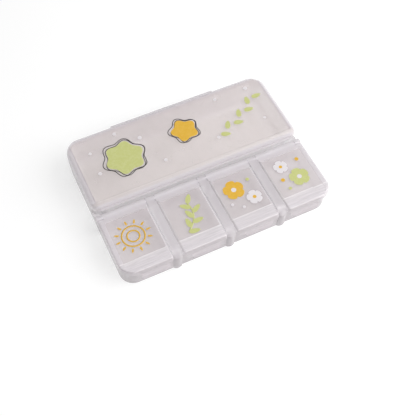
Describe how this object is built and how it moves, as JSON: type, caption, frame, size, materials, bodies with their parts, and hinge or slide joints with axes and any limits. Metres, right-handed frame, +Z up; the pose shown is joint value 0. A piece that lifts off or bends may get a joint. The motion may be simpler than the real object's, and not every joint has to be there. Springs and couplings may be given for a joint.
{
  "type": "pill organizer",
  "caption": "Frosted pocket pill organizer with a row of small lidded cups in front of one long lidded compartment.",
  "frame": {"origin": "Middle of the closed case in plan, on the flat surface that it stands on", "axes": "+X along the row of cups, to the right for a user facing the lift tabs; +Y from the front lift tabs to the rear hinge; +Z up, out of the closed lids"},
  "size_m": [0.092, 0.0706, 0.0158],
  "materials": {
    "frosted_tray": "satin",
    "frosted_lid": "satin",
    "hinge_rod": "satin",
    "print_amber": "matte",
    "print_green": "matte",
    "print_white": "matte",
    "print_line": "matte"
  },
  "bodies": {
    "tray": {"base_tray": "frosted_tray", "front_hinge_rod": "hinge_rod", "rear_hinge_rod": "hinge_rod"},
    "rear_lid": {"rear_lid": "frosted_lid"},
    "front_lid_1": {"front_lid_1": "frosted_lid"},
    "front_lid_2": {"front_lid_2": "frosted_lid"},
    "front_lid_3": {"front_lid_3": "frosted_lid"},
    "front_lid_4": {"front_lid_4": "frosted_lid"}
  },
  "joints": [
    {"name": "rear_lid_hinge", "type": "hinge", "parent": "tray", "child": "rear_lid", "pos_m": [0, 0.03383, 0.0116], "axis": [-1, 0, 0], "range_deg": [0, 180]},
    {"name": "front_lid_1_hinge", "type": "hinge", "parent": "tray", "child": "front_lid_1", "pos_m": [-0.0342, -0.00528, 0.0107], "axis": [-1, 0, 0], "range_deg": [0, 95]},
    {"name": "front_lid_2_hinge", "type": "hinge", "parent": "tray", "child": "front_lid_2", "pos_m": [-0.0115, -0.00528, 0.0107], "axis": [-1, 0, 0], "range_deg": [0, 95]},
    {"name": "front_lid_3_hinge", "type": "hinge", "parent": "tray", "child": "front_lid_3", "pos_m": [0.0115, -0.00528, 0.0107], "axis": [-1, 0, 0], "range_deg": [0, 95]},
    {"name": "front_lid_4_hinge", "type": "hinge", "parent": "tray", "child": "front_lid_4", "pos_m": [0.0342, -0.00528, 0.0107], "axis": [-1, 0, 0], "range_deg": [0, 95]}
  ]
}
